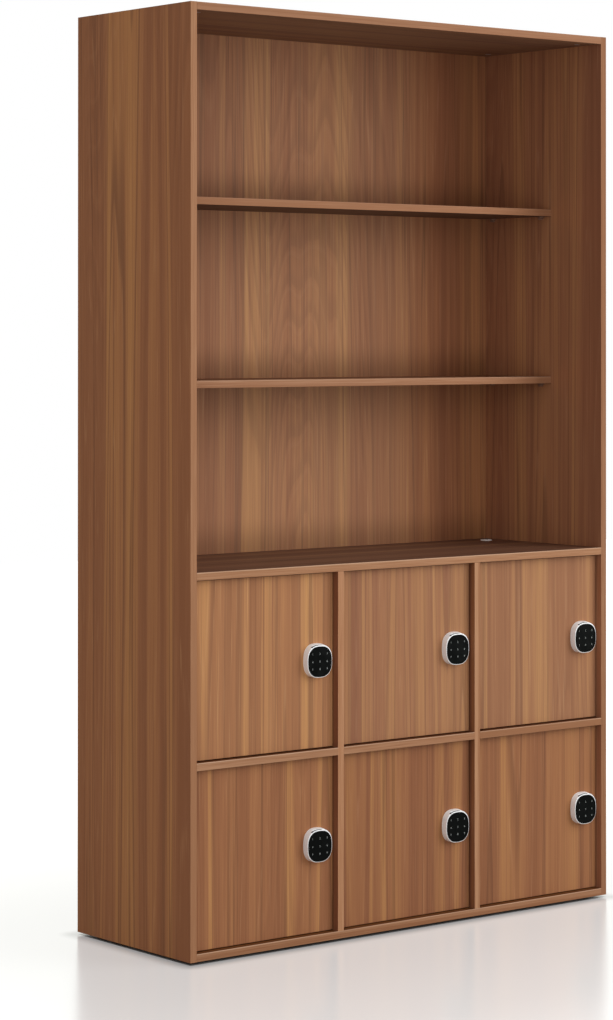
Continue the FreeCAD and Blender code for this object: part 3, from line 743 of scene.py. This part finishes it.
def digitShape(character, look):
    # the outline of one digit, filled, as points and faces about its own middle
    curve = bpy.data.curves.new("digit", "FONT")
    curve.body = character
    curve.size = look["height"] / look["capShare"]
    curve.align_x = "CENTER"
    curve.align_y = "CENTER"
    curve.extrude = look["thickness"] / 2
    curve.resolution_u = look["curveSteps"]
    holder = bpy.data.objects.new("digit", curve)
    scene.collection.objects.link(holder)
    mesh = bpy.data.meshes.new_from_object(holder.evaluated_get(bpy.context.evaluated_depsgraph_get()))
    points = np.zeros(len(mesh.vertices) * 3)
    mesh.vertices.foreach_get("co", points)
    points = points.reshape(-1, 3)
    faces = [list(face.vertices) for face in mesh.polygons]
    bpy.data.objects.remove(holder)
    bpy.data.curves.remove(curve)
    bpy.data.meshes.remove(mesh)
    points[:, :2] -= (points[:, :2].min(axis=0) + points[:, :2].max(axis=0)) / 2
    return points, faces


def digitFinish(look):
    material, tree, shader = startMaterial("digitPrint")
    fleck = noise(tree, objectPlace(tree), look["flecks"])
    worn = tuple(look["wornShare"] * value for value in look["tint"])
    feed(tree, shader.inputs["Base Color"], ramp(tree, fleck, [(0.3, worn), (0.7, look["tint"])]))
    feed(tree, shader.inputs["Roughness"], look["roughness"])
    return material


def joinShapes(name, shapes, material, body):
    # several closed shapes, each as points and faces, in one mesh
    allPoints = []
    allFaces = []
    start = 0
    for points, faces in shapes:
        allPoints.append(points)
        allFaces += [[start + corner for corner in face] for face in faces]
        start += len(points)
    mesh = bpy.data.meshes.new(name)
    mesh.from_pydata(np.vstack(allPoints).tolist(), [], allFaces)
    mesh.materials.append(material)
    piece = bpy.data.objects.new(name, mesh)
    scene.collection.objects.link(piece)
    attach(piece, body)
    return piece


digitShapes = [digitShape(str(number), digits) for number in range(1, 10)]
digitMaterial = digitFinish(digits)
for locker in lockers:
    low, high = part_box("keypad_face_" + locker)
    middle = (low + high) / 2
    shapes = []
    for number, (points, faces) in enumerate(digitShapes):
        x = middle.x + digits["columnPlaces"][number % 3]
        z = middle.z + digits["rowPlaces"][number // 3]
        placed = np.column_stack((x + points[:, 0], low.y - points[:, 2], z + points[:, 1]))
        shapes.append((placed, faces))
    joinShapes("keypad_digits_" + locker, shapes, digitMaterial, "door_" + locker + "_leaf")
print("digits on", len(lockers), "keypads")


# Screws: a domed head with a cross recess

screwLook = {
    "radius": 0.0036,
    "rise": 0.0011,
    "crossReach": 0.62,
    "crossWidth": 0.14,
    "crossDepth": 0.0009,
    "ringShares": (0.12, 0.28, 0.45, 0.6, 0.68, 0.8, 0.92, 1.0),
    "turns": 32,
}


def screwHead(centre, outward, look, scale=1.0):
    # height = rise * (1 - share^2 / 2), less the recess where the point lies in a bar of the cross
    shares = np.array(look["ringShares"])
    angles = np.arange(look["turns"]) * 2 * math.pi / look["turns"]
    share, angle = np.meshgrid(shares, angles, indexing="ij")
    a = share * np.cos(angle)
    b = share * np.sin(angle)
    inBar = (np.minimum(abs(a), abs(b)) < look["crossWidth"]) & (share < look["crossReach"])
    height = look["rise"] * (1 - share ** 2 / 2) - look["crossDepth"] * inBar
    # the last ring again, down on the seat
    a = np.vstack((a, a[-1:]))
    b = np.vstack((b, b[-1:]))
    height = np.vstack((height, np.zeros(look["turns"])))
    poles = np.array([[0, 0, look["rise"] - look["crossDepth"]], [0, 0, 0]])
    flat = np.column_stack((a.ravel(), b.ravel(), height.ravel()))
    points = np.vstack((poles, flat)) * [look["radius"], look["radius"], 1.0] * scale
    ringCount, turns = a.shape
    index = 2 + np.arange(ringCount * turns).reshape(ringCount, turns)
    after = np.roll(index, -1, axis=1)
    quads = np.stack((index[:-1], index[1:], after[1:], after[:-1]), axis=-1).reshape(-1, 4).tolist()
    cap = np.column_stack((np.zeros(turns, int), index[0], after[0])).tolist()
    foot = np.column_stack((np.ones(turns, int), after[-1], index[-1])).tolist()
    outward = Vector(outward)
    side = outward.orthogonal().normalized()
    other = outward.cross(side)
    basis = np.array([side, other, outward])
    return np.array(centre) + points @ basis, quads + cap + foot


hardware = {
    "hingeInset": 0.080,
    "cupFromEdge": 0.0225,
    "cupWingReach": 0.027,
    "cupFlange": 0.001,
    "plateThick": 0.002,
    "armThick": 0.0024,
    "plateScrewPlace": 0.0305,
    "plateWingReach": 0.024,
    "doorGap": 0.002,
    "strikeScrewPlace": 0.014,
    "strikeThick": 0.0015,
    "strikeScrewScale": 0.9,
    "caseScrewInset": 0.007,
    "caseScrewScale": 0.7,
}


def hingeLevels(locker):
    low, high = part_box("door_" + locker)
    return [low.z + hardware["hingeInset"], high.z - hardware["hingeInset"]]


plateScrews = []
strikeScrews = []
strikeLow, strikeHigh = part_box("strike_plates")
for locker in lockers:
    leaf = "door_" + locker + "_leaf"
    doorLow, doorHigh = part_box("door_" + locker)
    plateFace = doorLow.x - hardware["doorGap"] + hardware["plateThick"]
    plateScrewY = doorHigh.y + hardware["plateScrewPlace"]
    cupScrews = []
    for z in hingeLevels(locker):
        for side in (-1, 1):
            centre = (doorLow.x + hardware["cupFromEdge"], doorHigh.y + hardware["cupFlange"],
                      z + side * hardware["cupWingReach"])
            cupScrews.append(screwHead(centre, (0, 1, 0), screwLook))
            centre = (plateFace, plateScrewY, z + side * hardware["plateWingReach"])
            plateScrews.append(screwHead(centre, (1, 0, 0), screwLook))
        centre = (plateFace + hardware["armThick"], plateScrewY, z)
        plateScrews.append(screwHead(centre, (1, 0, 0), screwLook))
    joinShapes("hinge_cup_screws_" + locker, cupScrews, finishes["steel"], leaf)

    faceLow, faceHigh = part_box("keypad_face_" + locker)
    strikeFace = doorHigh.x + hardware["doorGap"] - hardware["strikeThick"]
    for side in (-1, 1):
        centre = (strikeFace, (strikeLow.y + strikeHigh.y) / 2,
                  (faceLow.z + faceHigh.z) / 2 + side * hardware["strikeScrewPlace"])
        strikeScrews.append(screwHead(centre, (-1, 0, 0), screwLook, hardware["strikeScrewScale"]))

    caseLow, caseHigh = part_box("lock_case_" + locker)
    inset = hardware["caseScrewInset"]
    caseScrews = [screwHead((x, caseHigh.y, z), (0, 1, 0), screwLook, hardware["caseScrewScale"])
                  for x in (caseLow.x + inset, caseHigh.x - inset)
                  for z in (caseLow.z + inset, caseHigh.z - inset)]
    joinShapes("lock_case_screws_" + locker, caseScrews, finishes["steel"], leaf)
joinShapes("hinge_plate_screws", plateScrews, finishes["steel"], "carcass")
joinShapes("strike_screws", strikeScrews, finishes["steel"], "carcass")
print("screws placed")


# Floor, lights and world

floorLook = {
    "reach": 9.0,
    "tint": (0.36, 0.36, 0.36, 1.0),
    "paleRoughness": 0.9,
    # the glow is lower near the cabinet, as painted shade round it
    "glowNear": 0.75,
    "glowFar": 1.0,
    "glowFade": 1.3,
    # painted contact shadow beside the cabinet
    "contactShare": 0.5,
    "contactFade": 0.05,
    "mirrorRoughness": 0.2,
    "mirrorTint": (0.99, 1.003, 0.945, 1.0),
    "mirrorShare": 0.42,
    "mirrorReach": 0.6,
    "mirrorFade": 1.9,
}


def fromFootprint(tree):
    # the distance on the floor from the rectangle that the cabinet stands on
    place = objectPlace(tree)
    low, high = cadBounds
    squares = []
    for axis in range(2):
        offset = offMiddle(tree, place, axis, low[axis], high[axis])
        gap = calc(tree, "MAXIMUM", calc(tree, "SUBTRACT", offset, (high[axis] - low[axis]) / 2), 0.0)
        squares.append(calc(tree, "POWER", gap, 2.0))
    return calc(tree, "SQRT", calc(tree, "ADD", *squares))


def makeFloor(look):
    # a pale floor that glows only for the camera and in reflections, less near the cabinet as painted shade,
    # under a soft mirror that fades away
    reach = look["reach"]
    mesh = bpy.data.meshes.new("floor")
    corners = [(-reach, -reach, 0), (reach, -reach, 0), (reach, reach, 0), (-reach, reach, 0)]
    mesh.from_pydata(corners, [], [(0, 1, 2, 3)])
    material, tree, shader = startMaterial("floor_pale")
    feed(tree, shader.inputs["Base Color"], look["tint"])
    feed(tree, shader.inputs["Roughness"], look["paleRoughness"])
    feed(tree, shader.inputs["Specular IOR Level"], 0.0)
    rays = put(tree, "ShaderNodeLightPath")
    seen = calc(tree, "MAXIMUM", rays.outputs["Is Camera Ray"],
                calc(tree, "MAXIMUM", rays.outputs["Is Glossy Ray"], rays.outputs["Is Transmission Ray"]))
    away = fromFootprint(tree)
    # painted shade: the glow is lower near the cabinet and rises with distance
    strength = spread(tree, away, 0.0, look["glowFade"], look["glowNear"], look["glowFar"])
    # painted contact shadow: less glow close to the cabinet and none under it
    contactShadow = spread(tree, away, 0.0, look["contactFade"], look["contactShare"], 1.0)
    contactShadow = calc(tree, "MULTIPLY", contactShadow, calc(tree, "GREATER_THAN", away, 0.0))
    strength = calc(tree, "MULTIPLY", strength, contactShadow)
    glow = put(tree, "ShaderNodeEmission")
    feed(tree, glow.inputs["Strength"], calc(tree, "MULTIPLY", seen, strength))
    pale = put(tree, "ShaderNodeAddShader")
    feed(tree, pale.inputs[0], shader.outputs[0])
    feed(tree, pale.inputs[1], glow.outputs[0])
    mirror = put(tree, "ShaderNodeBsdfGlossy")
    feed(tree, mirror.inputs["Roughness"], look["mirrorRoughness"])
    feed(tree, mirror.inputs["Color"], look["mirrorTint"])
    share = spread(tree, away, look["mirrorReach"], look["mirrorFade"], look["mirrorShare"], 0.0)
    mixer = put(tree, "ShaderNodeMixShader")
    feed(tree, mixer.inputs[0], calc(tree, "MULTIPLY", share, rays.outputs["Is Camera Ray"]))
    feed(tree, mixer.inputs[1], pale.outputs[0])
    feed(tree, mixer.inputs[2], mirror.outputs[0])
    feed(tree, tree.nodes["Material Output"].inputs["Surface"], mixer.outputs[0])
    mesh.materials.append(material)
    floor = bpy.data.objects.new("floor", mesh)
    scene.collection.objects.link(floor)


makeFloor(floorLook)

lamps = {
    "key": {"place": (2.53, -3.02, 1.75), "aim": (0.0, 0.0, 1.0), "size": 3.0, "power": 73.5},
    "fill": {"place": (-2.57, -3.06, 1.15), "aim": (0.0, 0.0, 1.0), "size": 2.6, "power": 31.0},
    "high": {"place": (1.91, -2.28, 3.68), "aim": (0.0, 0.0, 1.0), "size": 2.0, "power": 20.0},
}


def makeLamp(name, look):
    data = bpy.data.lights.new(name, "AREA")
    data.size = look["size"]
    data.energy = look["power"]
    lamp = bpy.data.objects.new(name, data)
    lamp.visible_camera = False
    lamp.location = look["place"]
    aim = Vector(look["aim"]) - Vector(look["place"])
    lamp.rotation_euler = aim.to_track_quat("-Z", "Y").to_euler()
    scene.collection.objects.link(lamp)


for name, look in lamps.items():
    makeLamp(name, look)

ambient = {"strength": 0.5, "tint": (1.0, 0.99, 0.975, 1.0)}


def makeWorld(look):
    # soft light on the object, and plain white for the camera and in reflections
    world = bpy.data.worlds.new("studio")
    scene.world = world
    world.use_nodes = True
    tree = world.node_tree
    soft = tree.nodes["Background"]
    feed(tree, soft.inputs["Color"], look["tint"])
    feed(tree, soft.inputs["Strength"], look["strength"])
    backdrop = put(tree, "ShaderNodeBackground")
    feed(tree, backdrop.inputs["Color"], white)
    rays = put(tree, "ShaderNodeLightPath")
    seen = calc(tree, "MAXIMUM", rays.outputs["Is Camera Ray"], rays.outputs["Is Transmission Ray"])
    mixer = put(tree, "ShaderNodeMixShader")
    feed(tree, mixer.inputs[0], calc(tree, "MAXIMUM", seen, rays.outputs["Is Glossy Ray"]))
    feed(tree, mixer.inputs[1], soft.outputs[0])
    feed(tree, mixer.inputs[2], backdrop.outputs[0])
    feed(tree, tree.nodes["World Output"].inputs["Surface"], mixer.outputs[0])


makeWorld(ambient)
print("floor, lights and world set")
